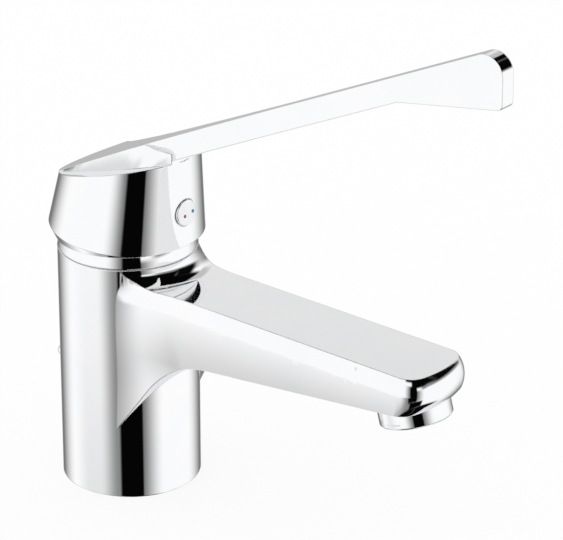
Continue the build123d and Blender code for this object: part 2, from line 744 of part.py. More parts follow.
# Aerator
def aerator_housing():
    """Turned ring with thread above and two wrench flats below."""
    shell = disc(AERATOR_R, 0, AERATOR_SHOULDER)
    shell = chamfer(shell.edges().group_by(Axis.Z)[0], AERATOR_EDGE)
    shell += disc(AERATOR_THREAD_R, AERATOR_SHOULDER, AERATOR_THREAD_TOP)
    shell -= disc(AERATOR_LIP_R, 0, AERATOR_LIP)
    shell -= disc(AERATOR_BORE_R, AERATOR_LIP, AERATOR_THREAD_TOP)
    for side in (1, -1):
        shell -= Pos(0, side * (FLAT_HALF + FLAT_BLOCK / 2), 0) * Box(FLAT_BLOCK, FLAT_BLOCK, FLAT_HEIGHT * 2)
    return aerator_place() * shell


def aerator_insert():
    """Flow straightener with radial slots."""
    body = disc(AERATOR_BORE_R, AERATOR_LIP, INSERT_TOP)
    length = SLOT_OUTER_R - SLOT_INNER_R
    slot = Pos(SLOT_INNER_R + length / 2, 0, AERATOR_LIP) * Box(length, SLOT_WIDTH, INSERT_TOP, align=FOOT)
    for index in range(SLOT_COUNT):
        body -= Rot(0, 0, 360 * index / SLOT_COUNT) * slot
    return aerator_place() * body


def aerator_screen():
    """Strainer plate with a grid of holes."""
    plate = disc(AERATOR_BORE_R, INSERT_TOP, INSERT_TOP + SCREEN_THICK)
    steps = int(SCREEN_OUTER_R / SCREEN_PITCH)
    for column in range(-steps, steps + 1):
        for row in range(-steps, steps + 1):
            x, y = column * SCREEN_PITCH, row * SCREEN_PITCH
            if x * x + y * y < SCREEN_OUTER_R ** 2:
                plate -= Pos(x, y, 0) * disc(SCREEN_HOLE_R, INSERT_TOP, INSERT_TOP + SCREEN_THICK)
    return aerator_place() * plate


def aerator_washer():
    return aerator_place() * ring(
        AERATOR_THREAD_R - SOCKET_CLEAR, WASHER_BORE_R, AERATOR_THREAD_TOP, AERATOR_THREAD_TOP + WASHER_THICK
    )


os.makedirs(OUT, exist_ok=True)
save("body_casting", body_casting())
save("base_seal_ring", base_seal_ring())
save("chain_lug", chain_lug())
save("seam_ring", seam_ring())
save("dome_collar", dome_collar())
save("clamp_nut", clamp_nut())
save("cartridge_base", cartridge_base())
save("base_seals", port_rings(SEAT_FLOOR))
save("disc_seals", port_rings(BASE_TOP - PORT_SEAL_THICK))
save("fixed_disc", fixed_disc())
save("moving_disc", moving_disc())
save("disc_carrier", disc_carrier())
save("spindle_driver", spindle_driver())
save("pivot_pin", pivot_pin())
save("cartridge_housing", cartridge_housing())
save("housing_o_ring", housing_o_ring())
save("limiter_ring", limiter_ring())
save("spindle", spindle())
save("lever_hood", lever_hood())
save("grub_screw", grub_screw())
save("indicator_plug", indicator_plug())
save("red_dot", dot(RED_DOT))
save("blue_dot", dot(BLUE_DOT))
save("aerator_housing", aerator_housing())
save("aerator_insert", aerator_insert())
save("aerator_screen", aerator_screen())
save("aerator_washer", aerator_washer())
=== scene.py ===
"""Elbow lever tap: finishes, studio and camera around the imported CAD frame."""

import json
import logging
from collections.abc import Callable
from dataclasses import dataclass
from enum import Enum
from math import cos, pi, radians, sin, tan

import bpy
import numpy as np
from mathutils import Matrix

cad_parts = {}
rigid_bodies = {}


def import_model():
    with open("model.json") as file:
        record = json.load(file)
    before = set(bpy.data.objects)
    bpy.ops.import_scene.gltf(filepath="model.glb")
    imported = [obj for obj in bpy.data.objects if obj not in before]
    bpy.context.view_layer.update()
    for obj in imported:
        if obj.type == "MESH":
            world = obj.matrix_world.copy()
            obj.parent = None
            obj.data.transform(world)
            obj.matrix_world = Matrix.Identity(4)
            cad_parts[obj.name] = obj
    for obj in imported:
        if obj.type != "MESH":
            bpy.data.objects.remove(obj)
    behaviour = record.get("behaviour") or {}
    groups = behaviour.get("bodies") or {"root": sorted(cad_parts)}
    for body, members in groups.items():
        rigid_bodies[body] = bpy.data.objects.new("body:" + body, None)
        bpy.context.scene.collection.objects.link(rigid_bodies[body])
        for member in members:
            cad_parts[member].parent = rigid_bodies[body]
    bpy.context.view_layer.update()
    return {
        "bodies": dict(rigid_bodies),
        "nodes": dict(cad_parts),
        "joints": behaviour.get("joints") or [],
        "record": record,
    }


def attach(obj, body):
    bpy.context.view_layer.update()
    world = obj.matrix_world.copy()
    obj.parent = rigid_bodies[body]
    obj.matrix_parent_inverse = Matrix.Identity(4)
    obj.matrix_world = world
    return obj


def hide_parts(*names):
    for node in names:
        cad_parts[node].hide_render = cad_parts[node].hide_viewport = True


LOG = logging.getLogger("elbow_tap")
MM = 0.001


# Colours and nodes
def linear(hex_colour: str) -> tuple[float, float, float, float]:
    """Turns an sRGB hex colour into linear values, by the two parts of the sRGB curve.

    Args:
        hex_colour: Six hex digits, without a mark in front.

    Returns:
        Linear red, green, blue and an alpha of one.
    """
    shares = [int(hex_colour[i : i + 2], 16) / 255 for i in (0, 2, 4)]
    parts = [s / 12.92 if s <= 0.04045 else ((s + 0.055) / 1.055) ** 2.4 for s in shares]
    return (parts[0], parts[1], parts[2], 1.0)


def add_node(
    tree: bpy.types.NodeTree,
    kind: str,
    settings: dict | None = None,
    inputs: dict | None = None,
) -> bpy.types.Node:
    """Adds one node with its settings, values and links.

    Args:
        tree: Node tree that gets the node.
        kind: Blender's node type name.
        settings: Node properties to set.
        inputs: Input name or number, to a value or to an output socket to link.

    Returns:
        The new node.
    """
    node = tree.nodes.new(kind)
    for name, value in (settings or {}).items():
        setattr(node, name, value)
    for name, value in (inputs or {}).items():
        socket = node.inputs[name]
        if kind == "ShaderNodeMix" and name in ("A", "B"):
            wanted = "RGBA" if node.data_type == "RGBA" else "VALUE"
            socket = next(each for each in node.inputs if each.name == name and each.type == wanted)
        if isinstance(value, bpy.types.NodeSocket):
            tree.links.new(value, socket)
        else:
            socket.default_value = value
    return node


def mix_colour(node: bpy.types.Node) -> bpy.types.NodeSocket:
    """Colour output of a mix node, which has several outputs of one name."""
    return next(socket for socket in node.outputs if socket.type == "RGBA")


def set_ramp(node: bpy.types.Node, stops: tuple[tuple[float, str], ...]) -> None:
    """Fills a colour ramp.

    Args:
        node: The colour ramp node.
        stops: Place along the ramp and hex colour of each stop, in rising order.
    """
    ramp = node.color_ramp
    while len(ramp.elements) > 1:
        ramp.elements.remove(ramp.elements[-1])
    ramp.elements[0].position = stops[0][0]
    ramp.elements[0].color = linear(stops[0][1])
    for place, colour in stops[1:]:
        ramp.elements.new(place).color = linear(colour)


# Finishes
TONE_FROM = 0.3
TONE_TO = 0.7
DRIFT_DETAIL = 3.0
GRAIN_DETAIL = 2.0
BUMP_STRENGTH = 0.4
EDGE_SAMPLES = 6


@dataclass(frozen=True)
class Finish:
    """One finish: what it is made of and how its surface varies.

    The colour drifts between two close tones over drift_mm, and the roughness between
    two values over grain_mm, so that no surface is one flat colour. Real polishing and
    turning lines are too fine to show, so grain_mm is drawn coarser than they are.
    bump_mm is the grain's height, soft_in_mirrors the roughness that another mirror
    sees, and edge_mm the radius over which the light turns at an edge.
    """

    name: str
    tone: str
    second_tone: str
    metallic: float
    rough: float
    rough_far: float
    drift_mm: float
    grain_mm: float
    bump_mm: float = 0.0
    soft_in_mirrors: float = 0.0
    edge_mm: float = 0.0

    def material(self) -> bpy.types.Material:
        """Builds the finish as a node material on Object coordinates, once.

        Returns:
            The material, which every piece of this finish shares.
        """
        made = bpy.data.materials.get(self.name)
        if made:
            return made
        made = bpy.data.materials.new(self.name)
        made.use_nodes = True
        tree = made.node_tree
        shader = tree.nodes["Principled BSDF"]
        shader.inputs["Metallic"].default_value = self.metallic
        place = add_node(tree, "ShaderNodeTexCoord").outputs["Object"]
        drift = add_node(
            tree,
            "ShaderNodeTexNoise",
            inputs={"Vector": place, "Scale": 1 / (self.drift_mm * MM), "Detail": DRIFT_DETAIL},
        )
        tone = add_node(tree, "ShaderNodeValToRGB", inputs={"Fac": drift.outputs["Fac"]})
        set_ramp(tone, ((TONE_FROM, self.tone), (TONE_TO, self.second_tone)))
        tree.links.new(tone.outputs["Color"], shader.inputs["Base Color"])
        grain = add_node(
            tree,
            "ShaderNodeTexNoise",
            inputs={"Vector": place, "Scale": 1 / (self.grain_mm * MM), "Detail": GRAIN_DETAIL},
        )
        rough = add_node(
            tree,
            "ShaderNodeMapRange",
            inputs={"Value": grain.outputs["Fac"], "To Min": self.rough, "To Max": self.rough_far},
        ).outputs["Result"]
        if self.soft_in_mirrors:
            path = add_node(tree, "ShaderNodeLightPath")
            rough = add_node(
                tree,
                "ShaderNodeMix",
                {"data_type": "FLOAT"},
                {"Factor": path.outputs["Is Glossy Ray"], "A": rough, "B": self.soft_in_mirrors},
            ).outputs["Result"]
        tree.links.new(rough, shader.inputs["Roughness"])
        if self.bump_mm:
            bump = add_node(
                tree,
                "ShaderNodeBump",
                inputs={
                    "Height": grain.outputs["Fac"],
                    "Distance": self.bump_mm * MM,
                    "Strength": BUMP_STRENGTH,
                },
            )
            tree.links.new(bump.outputs["Normal"], shader.inputs["Normal"])
        if self.edge_mm:
            edge = add_node(
                tree, "ShaderNodeBevel", {"samples": EDGE_SAMPLES}, {"Radius": self.edge_mm * MM}
            )
            tree.links.new(edge.outputs["Normal"], shader.inputs["Normal"])
        return made


# Bright chrome plate on polished brass: neutral and mirror clear, with a little polish haze
CHROME = Finish(
    "chrome_plate_polished",
    "FCFCFD",
    "F8F9FA",
    metallic=1.0,
    rough=0.01,
    rough_far=0.03,
    drift_mm=22.0,
    grain_mm=1.2,
    soft_in_mirrors=0.3,
    edge_mm=0.45,
)
# Chrome left satin on the small plug: a soft sheen, so that the dots stay readable
PLUG_CHROME = Finish(
    "chrome_plate_satin",
    "F4F5F6",
    "E9EAEC",
    metallic=1.0,
    rough=0.06,
    rough_far=0.1,
    drift_mm=6.0,
    grain_mm=0.5,
)
# Chrome of the narrow ring in the seam: its greyer tone is painted shade for its place down in the
# groove, and it is duller there
SEAM_CHROME = Finish(
    "chrome_plate_seam",
    "B9BBBD",
    "ADAFB1",
    metallic=1.0,
    rough=0.1,
    rough_far=0.18,
    drift_mm=6.0,
    grain_mm=0.6,
)
# Turned brass: warm, with the soft shine of fine turning lines
BRASS = Finish(
    "brass_turned",
    "C9A45A",
    "B8934B",
    metallic=1.0,
    rough=0.25,
    rough_far=0.4,
    drift_mm=5.0,
    grain_mm=0.3,
    bump_mm=0.01,
)
# Turned stainless steel: a darker grey metal with a soft shine
STEEL = Finish(
    "stainless_turned",
    "A9ABAE",
    "9A9CA0",
    metallic=1.0,
    rough=0.25,
    rough_far=0.4,
    drift_mm=4.0,
    grain_mm=0.25,
    bump_mm=0.005,
)
# Moulded nitrile rubber: near black and dull
RUBBER = Finish(
    "nitrile_rubber_moulded",
    "161617",
    "0E0E0F",
    metallic=0.0,
    rough=0.6,
    rough_far=0.8,
    drift_mm=3.0,
    grain_mm=0.3,
    bump_mm=0.02,
)
# Moulded dark acetal of the cartridge shell: charcoal with a low gloss
ACETAL_DARK = Finish(
    "acetal_dark_moulded",
    "2B2D31",
    "24262A",
    metallic=0.0,
    rough=0.35,
    rough_far=0.5,
    drift_mm=6.0,
    grain_mm=0.4,
    bump_mm=0.01,
)
# Moulded natural acetal of the moving cartridge pieces: a milky off-white
ACETAL_LIGHT = Finish(
    "acetal_natural_moulded",
    "DAD9D2",
    "CFCEC6",
    metallic=0.0,
    rough=0.3,
    rough_far=0.45,
    drift_mm=6.0,
    grain_mm=0.4,
    bump_mm=0.01,
)
# Moulded red acetal of the hot water stop: a signal colour with a low gloss
ACETAL_RED = Finish(
    "acetal_red_moulded",
    "B0201A",
    "9C1A15",
    metallic=0.0,
    rough=0.3,
    rough_far=0.45,
    drift_mm=5.0,
    grain_mm=0.4,
    bump_mm=0.01,
)
# Lapped alumina of the discs: cream white, flat and glossy
ALUMINA = Finish(
    "alumina_lapped",
    "EDEAE2",
    "E3DFD6",
    metallic=0.0,
    rough=0.12,
    rough_far=0.2,
    drift_mm=4.0,
    grain_mm=0.2,
)
# Enamel inlays of the plug: clear red and blue with a gloss
RED_ENAMEL = Finish(
    "enamel_red",
    "D0202A",
    "B81A24",
    metallic=0.0,
    rough=0.15,
    rough_far=0.25,
    drift_mm=0.8,
    grain_mm=0.2,
)
BLUE_ENAMEL = Finish(
    "enamel_blue",
    "1E86B8",
    "1873A0",
    metallic=0.0,
    rough=0.15,
    rough_far=0.25,
    drift_mm=0.8,
    grain_mm=0.2,
)
# Moulded white acetal of the aerator's insert: cool and matt
INSERT_WHITE = Finish(
    "acetal_white_moulded",
    "D7DADD",
    "CBCFD3",
    metallic=0.0,
    rough=0.4,
    rough_far=0.55,
    drift_mm=4.0,
    grain_mm=0.3,
    bump_mm=0.01,
)


# Exact surfaces
SHORTEST = 1e-12


@dataclass(frozen=True)
class Surface:
    """A known surface of a casting, as a function that is zero on it and grows outward.

    All is in millimetres, with one point a row. reach_mm is how far a corner may lie
    off the surface, step_mm the spacing of the differences that give its direction,
    wider where straight runs follow a curve.
    """

    height: Callable[[np.ndarray], np.ndarray]
    reach_mm: float = 0.02
    step_mm: float = 0.02

    def direction(self, points: np.ndarray) -> np.ndarray:
        """Unit normals: the central differences of height along x, y and z.

        Args:
            points: Where the normals are wanted.

        Returns:
            One normal a row.
        """
        shifts = np.eye(3) * self.step_mm
        slopes = np.stack([self.height(points + s) - self.height(points - s) for s in shifts], axis=1)
        return slopes / np.maximum(np.linalg.norm(slopes, axis=1, keepdims=True), SHORTEST)


def plane(offset: float, slope_x: float = 0.0, slope_y: float = 0.0, up: int = 1) -> Surface:
    """Plane z = offset + slope_x x + slope_y |y|, facing up or down."""
    return Surface(lambda p: up * (p[:, 2] - offset - slope_x * p[:, 0] - slope_y * np.abs(p[:, 1])))


def cone(
    origin: tuple[float, float, float], tilt_deg: float, radius: float, flare_deg: float
) -> Surface:
    """Cone about an axis that is tilted forward from Z.

    Args:
        origin: Point on the axis.
        tilt_deg: Turn of the axis from Z toward X.
        radius: Radius at the origin.
        flare_deg: Half angle, positive where the cone widens upward.

    Returns:
        The cone as a surface.
    """
    lean = radians(tilt_deg)
    base = np.array(origin)
    axis = np.array((sin(lean), 0.0, cos(lean)))

    def height(p: np.ndarray) -> np.ndarray:
        """Distance from the axis less the radius at that height.

        Args:
            p: Points.

        Returns:
            Zero on the cone, more outside it.
        """
        along = (p - base) @ axis
        off = p - base - along[:, None] * axis
        return np.linalg.norm(off, axis=1) - radius - along * tan(radians(flare_deg))

    return Surface(height)


def ball(centre: tuple[float, float, float], radius: float) -> Surface:
    """Sphere: distance from the centre less the radius."""
    return Surface(lambda p: np.linalg.norm(p - np.array(centre), axis=1) - radius)


def exact_normals(
    mesh: bpy.types.Mesh, surfaces: tuple[Surface, ...], turn_deg: float = 16.0
) -> None:
    """Sets each corner's normal from the surface that its face lies on.

    A face lies on a surface where its three corners are within reach and its own
    direction is within turn_deg of the surface's direction at its middle. Faces on no
    known surface keep the averaged normals.

    Args:
        mesh: Merged triangle mesh, in metres.
        surfaces: Surfaces in millimetres, in order of preference.
        turn_deg: Largest turn between a face and its surface.
    """
    spots = np.empty(len(mesh.vertices) * 3)
    mesh.vertices.foreach_get("co", spots)
    spots = spots.reshape(-1, 3) / MM
    corners = np.empty(len(mesh.loops), dtype=np.int32)
    mesh.loops.foreach_get("vertex_index", corners)
    corners = corners.reshape(-1, 3)
    normals = np.empty(len(mesh.loops) * 3)
    mesh.corner_normals.foreach_get("vector", normals)
    normals = normals.reshape(-1, 3, 3)
    faces = np.empty(len(mesh.polygons) * 3)
    mesh.polygons.foreach_get("normal", faces)
    faces = faces.reshape(-1, 3)
    middles = spots[corners].mean(axis=1)
    open_faces = np.ones(len(faces), dtype=bool)
    for surface in surfaces:
        near = np.abs(surface.height(spots)) < surface.reach_mm
        facing = (surface.direction(middles) * faces).sum(axis=1) > cos(radians(turn_deg))
        taken = open_faces & near[corners].all(axis=1) & facing
        directions = surface.direction(spots)
        normals[taken] = directions[corners[taken]]
        open_faces &= ~taken
    LOG.info("%s: %d of %d faces keep averaged normals", mesh.name, int(open_faces.sum()), len(faces))
    mesh.normals_split_custom_set(normals.reshape(-1, 3).tolist())


# Pieces
MERGE_MM = 0.002
FINER_CUTS = 2


class Shading(Enum):
    """How a node is shown: its own loose triangles, or a merged copy with smooth faces."""

    AS_PACKED = "as_packed"
    SMOOTH_COPY = "smooth_copy"


@dataclass
class Piece:
    """One CAD node with its finish."""

    node: str
    body: str
    finish: Finish
    shading: Shading = Shading.AS_PACKED
    sharp_deg: float = 24.0
    surfaces: tuple[Surface, ...] = ()
    finer_beyond_mm: float | None = None

    def dress(self, frame: dict) -> bpy.types.Object:
        """Gives the node its finish, on a merged smooth copy where asked.

        Args:
            frame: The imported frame, as loaded.

        Returns:
            The object that shows the node.
        """
        source = frame["nodes"][self.node]
        if self.shading is Shading.AS_PACKED:
            self.paint(source)
            return source
        name = self.node + "_polished"
        mesh = smooth_copy(source, name, self.sharp_deg, self.finer_beyond_mm)
        if self.surfaces:
            exact_normals(mesh, self.surfaces)
        shown = bpy.data.objects.new(name, mesh)
        bpy.context.scene.collection.objects.link(shown)
        self.paint(shown)
        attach(shown, self.body)
        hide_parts(self.node)
        return shown

    def paint(self, shown: bpy.types.Object) -> None:
        """Puts the finish on every face."""
        shown.data.materials.clear()
        shown.data.materials.append(self.finish.material())


def smooth_copy(
    source: bpy.types.Object, name: str, sharp_deg: float, finer_beyond_mm: float | None
) -> bpy.types.Mesh:
    """Copies a node's mesh, merges its loose corners and smooths its faces up to an angle.

    Args:
        source: The CAD node.
        name: Name of the copy's mesh.
        sharp_deg: Edges that turn more than this stay sharp.
        finer_beyond_mm: Faces beyond this x are split in nine, in place, so that exact
            normals can follow a tight curl; None splits none.

    Returns:
        The merged and smoothed mesh.
    """
    mesh = source.data.copy()
    mesh.name = name
    work = bpy.data.objects.new(name + "_work", mesh)
    bpy.context.scene.collection.objects.link(work)
    bpy.context.view_layer.objects.active = work
    for each in bpy.context.selected_objects:
        each.select_set(False)
    work.select_set(True)
    bpy.ops.object.mode_set(mode="EDIT")
    bpy.ops.mesh.select_all(action="SELECT")
    bpy.ops.mesh.customdata_custom_splitnormals_clear()
    bpy.ops.mesh.remove_doubles(threshold=MERGE_MM * MM)
    bpy.ops.mesh.select_all(action="DESELECT")
    bpy.ops.object.mode_set(mode="OBJECT")
    if finer_beyond_mm is not None:
        centres = np.empty(len(mesh.polygons) * 3)
        mesh.polygons.foreach_get("center", centres)
        bpy.context.tool_settings.mesh_select_mode = (False, False, True)
        mesh.polygons.foreach_set("select", centres[::3] > finer_beyond_mm * MM)
        bpy.ops.object.mode_set(mode="EDIT")
        bpy.ops.mesh.subdivide(number_cuts=FINER_CUTS)
        bpy.ops.mesh.select_all(action="SELECT")
        bpy.ops.mesh.quads_convert_to_tris()
        bpy.ops.object.mode_set(mode="OBJECT")
    bpy.ops.object.shade_smooth_by_angle(angle=radians(sharp_deg), keep_sharp_edges=False)
    bpy.data.objects.remove(work)
    return mesh


# Sub-assemblies
class SubAssembly:
    """Pieces that belong together and are dressed in one go."""

    def pieces(self) -> tuple[Piece, ...]:
        """Names every piece; each sub-assembly gives its own.

        Returns:
            The pieces, in the order in which they are dressed.
        """
        raise NotImplementedError

    def build(self, frame: dict) -> None:
        """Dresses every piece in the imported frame."""
        for piece in self.pieces():
            piece.dress(frame)


@dataclass
class TapBody(SubAssembly):
    """Body and spout casting with its collar, rings and lug.

    Sizes are millimetres, and depths are measured down from the spout's top. The
    surfaces below are those of the CAD casting. A slope is an offset and a rise along x.
    """

    body: str = "body"
    body_radius: float = 24.0
    collar_centre: tuple[float, float, float] = (0.0, 0.0, 82.0)
    collar_radius: float = 24.2
    spout_top: float = 79.07
    top_half_width: float = 13.57
    crown_depth: float = 5.9
    crown_out: float = 1.9
    lean_end: float = 24.0
    upright_run: float = 16.0
    lean_slope: float = 0.09
    flare_sunk: float = 0.06
    flare_radius: float = 44.6
    flare_growth: float = 0.45
    nose_arc: float = 9.7
    nose_depth: float = 14.75
    corner_radius: float = 6.5
    front_radius: float = 40.0
    front_middle: float = 94.7
    nose_from: float = 110.0
    off_the_nose: float = 9.0
    hollow_radius: float = 6.1
    arch_radius: float = 34.35
    arch_x: float = 50.9
    arch_z: float = 22.5
    underside_slope: tuple[float, float] = (51.15, 0.1165)
    arch_slope: tuple[float, float] = (7.19, 1.54)
    finer_beyond: float = 112.0

    def side_out(self, depth: np.ndarray) -> np.ndarray:
        """How far the spout's side stands out at a depth: an arc, a lean inward, then upright.

        The arc bulges by crown_out over crown_depth. Below it the side's slope grows evenly
        to lean_slope at lean_end, and falls evenly to nothing over upright_run.

        Args:
            depth: Depths below the spout's top.

        Returns:
            Distances outward from the edge of the top.
        """
        arc = (self.crown_depth**2 + self.crown_out**2) / (2 * self.crown_out)
        lift = self.crown_depth - depth
        high = np.sqrt(np.maximum(arc**2 - lift**2, 0)) - (arc - self.crown_out)
        lean_run = self.lean_end - self.crown_depth
        leaning = np.clip(depth - self.crown_depth, 0, lean_run)
        below = np.clip(depth - self.lean_end, 0, self.upright_run)
        inward = leaning**2 / (2 * lean_run) + below - below**2 / (2 * self.upright_run)
        low = self.crown_out - self.lean_slope * inward
        return np.where(depth <= self.crown_depth, high, low)

    def nose_out(self, depth: np.ndarray) -> np.ndarray:
        """How far the nose stands out at a depth, one arc that is fullest at crown_depth."""
        drop = np.clip(depth, 0, self.nose_depth) - self.crown_depth
        return self.crown_out - self.nose_arc + np.sqrt(self.nose_arc**2 - drop**2)

    def spout_side(self, p: np.ndarray) -> np.ndarray:
        """Spout's side: half the width at this depth, widened by the flare's arc near the body.

        The flare's arc touches the side and a circle just inside the body's.

        Args:
            p: Points.

        Returns:
            Zero on the side, more outside it.
        """
        depth = self.spout_top - p[:, 2]
        width = self.top_half_width + self.side_out(depth)
        flare = self.flare_radius + self.flare_growth * depth
        flare_y = width + flare
        span = self.body_radius - self.flare_sunk + flare
        flare_x = np.sqrt(np.maximum(span**2 - flare_y**2, 0))
        near = np.maximum(flare_x - p[:, 0], 0)
        return np.abs(p[:, 1]) - (flare_y - np.sqrt(np.maximum(flare**2 - near**2, 0)))

    def spout_nose(self, p: np.ndarray) -> np.ndarray:
        """Spout's nose: corner arcs and a front arc that both grow by nose_out.

        The two arcs meet at the knee. Points before nose_from are off the nose.

        Args:
            p: Points.

        Returns:
            Zero on the nose, more outside it.
        """
        depth = self.spout_top - p[:, 2]
        out = self.nose_out(depth)
        width = self.top_half_width + self.side_out(depth)
        corner = self.corner_radius + out
        front = self.front_radius + out
        knee_y = width - corner
        knee_x = self.front_middle + np.sqrt(np.maximum((front - corner) ** 2 - knee_y**2, 0))
        ahead = p[:, 0] - self.front_middle
        beside = np.abs(p[:, 1])
        at_front = beside * (knee_x - self.front_middle) < knee_y * ahead
        round_front = np.hypot(ahead, p[:, 1]) - front
        round_corner = np.hypot(np.maximum(p[:, 0] - knee_x, 0), beside - knee_y) - corner
        nose = np.where(at_front, round_front, round_corner)
        return np.where(p[:, 0] < self.nose_from, self.off_the_nose, nose)

    def root_hollow(self, p: np.ndarray) -> np.ndarray:
        """Hollow fillet between body and spout top: a ring tube seen from its inside.

        Args:
            p: Points.

        Returns:
            Zero on the hollow, more toward the tube's middle.
        """
        aside = np.hypot(p[:, 0], p[:, 1]) - (self.body_radius + self.hollow_radius)
        above = p[:, 2] - (self.spout_top + self.hollow_radius)
        return self.hollow_radius - np.hypot(aside, above)

    def arch(self, p: np.ndarray) -> np.ndarray:
        """Round part of the arch below the spout: a cylinder along y seen from its inside."""
        return self.arch_radius - np.hypot(p[:, 0] - self.arch_x, p[:, 2] - self.arch_z)

    def casting_surfaces(self) -> tuple[Surface, ...]:
        """Collects the casting's surfaces, the nose before the side that runs out into it.

        Returns:
            The surfaces, in order of preference.
        """
        return (
            Surface(lambda p: np.hypot(p[:, 0], p[:, 1]) - self.body_radius),
            plane(self.spout_top),
            plane(0.0, up=-1),
            plane(*self.underside_slope, up=-1),
            plane(*self.arch_slope, up=-1),
            Surface(self.root_hollow, reach_mm=0.03),
            Surface(self.arch, reach_mm=0.05),
            Surface(self.spout_nose, reach_mm=0.3, step_mm=0.2),
            Surface(self.spout_side, reach_mm=0.15, step_mm=0.3),
        )

    def pieces(self) -> tuple[Piece, ...]:
        """Names the casting and what is fixed to it.

        Returns:
            The pieces, in the order in which they are dressed.
        """
        smooth = Shading.SMOOTH_COPY
        casting = self.casting_surfaces()
        collar = (ball(self.collar_centre, self.collar_radius),)
        return (
            Piece(
                "body_casting",
                self.body,
                CHROME,
                smooth,
                surfaces=casting,
                finer_beyond_mm=self.finer_beyond,
            ),
            Piece("dome_collar", self.body, CHROME, smooth, surfaces=collar),
            Piece("chain_lug", self.body, CHROME, smooth),
            Piece("seam_ring", self.body, SEAM_CHROME, smooth),
            Piece("base_seal_ring", self.body, RUBBER),
            Piece("clamp_nut", self.body, BRASS),
        )


@dataclass
class LeverHood(SubAssembly):
    """Hood with its long elbow lever, plug and fastening.

    Sizes are millimetres. The wall is the hood's upper cone and the skirt the one that
    turns in below it. Half widths of blade and ridge are read along x from their tables.
    """

    body: str = "lever"
    wall_origin: tuple[float, float, float] = (0.0, 0.0, 92.88)
    wall_tilt_deg: float = 7.10
    wall_radius: float = 26.55
    wall_flare_deg: float = -7.39
    skirt_origin: tuple[float, float, float] = (1.2, 0.0, 90.5)
    skirt_tilt_deg: float = -1.75
    skirt_radius: float = 25.5
    skirt_flare_deg: float = 24.0
    lever_top: float = 120.02
    lever_underside: float = 111.31
    lever_rise: float = 0.4753
    roof_middle: float = 115.08
    roof_rise: float = 0.267
    roof_rise_aside: float = 0.075
    lowest_ridge: float = 0.3
    blade_ease: float = 6.0
    blade_x: tuple[float, ...] = (14.0, 20.0, 26.0, 33.0, 41.0, 50.0, 57.0, 70.0, 164.8)
    blade_half: tuple[float, ...] = (6.6, 5.95, 5.35, 4.95, 4.1, 3.7, 3.3, 2.8, 2.8)
    ridge_x: tuple[float, ...] = (-26.0, -15.0, -9.0, -3.0, 3.0, 9.0, 15.0, 20.0, 26.0)
    ridge_top: tuple[float, ...] = (21.5, 17.0, 13.0, 11.0, 9.2, 7.6, 6.8, 6.0, 5.35)
    ridge_foot: tuple[float, ...] = (21.8, 17.6, 16.0, 15.2, 14.4, 13.4, 11.9, 9.4, 5.4)
    sharp_deg: float = 18.0

    def blade_side(self, p: np.ndarray) -> np.ndarray:
        """Lever's side: half width read along x, the mean of two readings blade_ease apart.

        Args:
            p: Points.

        Returns:
            Zero on the side, more outside it.
        """
        behind = np.interp(p[:, 0] - self.blade_ease, self.blade_x, self.blade_half)
        ahead = np.interp(p[:, 0] + self.blade_ease, self.blade_x, self.blade_half)
        return np.abs(p[:, 1]) - (behind + ahead) / 2

    def ridge_side(self, p: np.ndarray) -> np.ndarray:
        """Ridge's side: straight from its foot on the roof to its top edge, both read along x.

        Args:
            p: Points.

        Returns:
            Zero on the side, more outside it.
        """
        foot = np.interp(p[:, 0], self.ridge_x, self.ridge_foot)
        top = np.interp(p[:, 0], self.ridge_x, self.ridge_top)
        foot_z = self.roof_middle + self.roof_rise * p[:, 0] + self.roof_rise_aside * foot
        top_z = self.lever_top + self.lever_rise * p[:, 0]
        share = (p[:, 2] - foot_z) / np.maximum(top_z - foot_z, self.lowest_ridge)
        return np.abs(p[:, 1]) - foot - (top - foot) * np.clip(share, -1, 2)

    def hood_surfaces(self) -> tuple[Surface, ...]:
        """Collects the hood's and lever's surfaces, plain forms before those read from tables.

        Returns:
            The surfaces, in order of preference.
        """
        return (
            cone(self.wall_origin, self.wall_tilt_deg, self.wall_radius, self.wall_flare_deg),
            cone(self.skirt_origin, self.skirt_tilt_deg, self.skirt_radius, self.skirt_flare_deg),
            plane(self.lever_top, self.lever_rise),
            plane(self.roof_middle, self.roof_rise, self.roof_rise_aside),
            plane(self.lever_underside, self.lever_rise, up=-1),
            Surface(self.blade_side, reach_mm=0.35, step_mm=2.0),
            Surface(self.ridge_side, reach_mm=0.1, step_mm=1.5),
        )

    def pieces(self) -> tuple[Piece, ...]:
        """Names the hood casting and what it carries.

        Returns:
            The pieces, in the order in which they are dressed.
        """
        smooth = Shading.SMOOTH_COPY
        return (
            Piece("lever_hood", self.body, CHROME, smooth, self.sharp_deg, self.hood_surfaces()),
            Piece("indicator_plug", self.body, PLUG_CHROME, smooth),
            Piece("red_dot", self.body, RED_ENAMEL),
            Piece("blue_dot", self.body, BLUE_ENAMEL),
            Piece("grub_screw", self.body, STEEL),
            Piece("spindle", self.body, BRASS),
        )


@dataclass
class Cartridge(SubAssembly):
    """Ceramic disc cartridge inside the body, whose pieces ride on three bodies."""

    fixed: str = "body"
    turning: str = "driver"
    sliding: str = "carrier"

    def pieces(self) -> tuple[Piece, ...]:
        """Names the seals and shell, then the discs and what moves them.

        Returns:
            The pieces, in the order in which they are dressed.
        """
        return (
            Piece("base_seals", self.fixed, RUBBER),
            Piece("disc_seals", self.fixed, RUBBER),
            Piece("housing_o_ring", self.fixed, RUBBER),
            Piece("cartridge_base", self.fixed, ACETAL_DARK),
            Piece("cartridge_housing", self.fixed, ACETAL_DARK),
            Piece("limiter_ring", self.fixed, ACETAL_RED),
            Piece("fixed_disc", self.fixed, ALUMINA),
            Piece("moving_disc", self.sliding, ALUMINA),
            Piece("disc_carrier", self.sliding, ACETAL_LIGHT),
            Piece("spindle_driver", self.turning, ACETAL_LIGHT),
            Piece("pivot_pin", self.turning, STEEL),
        )


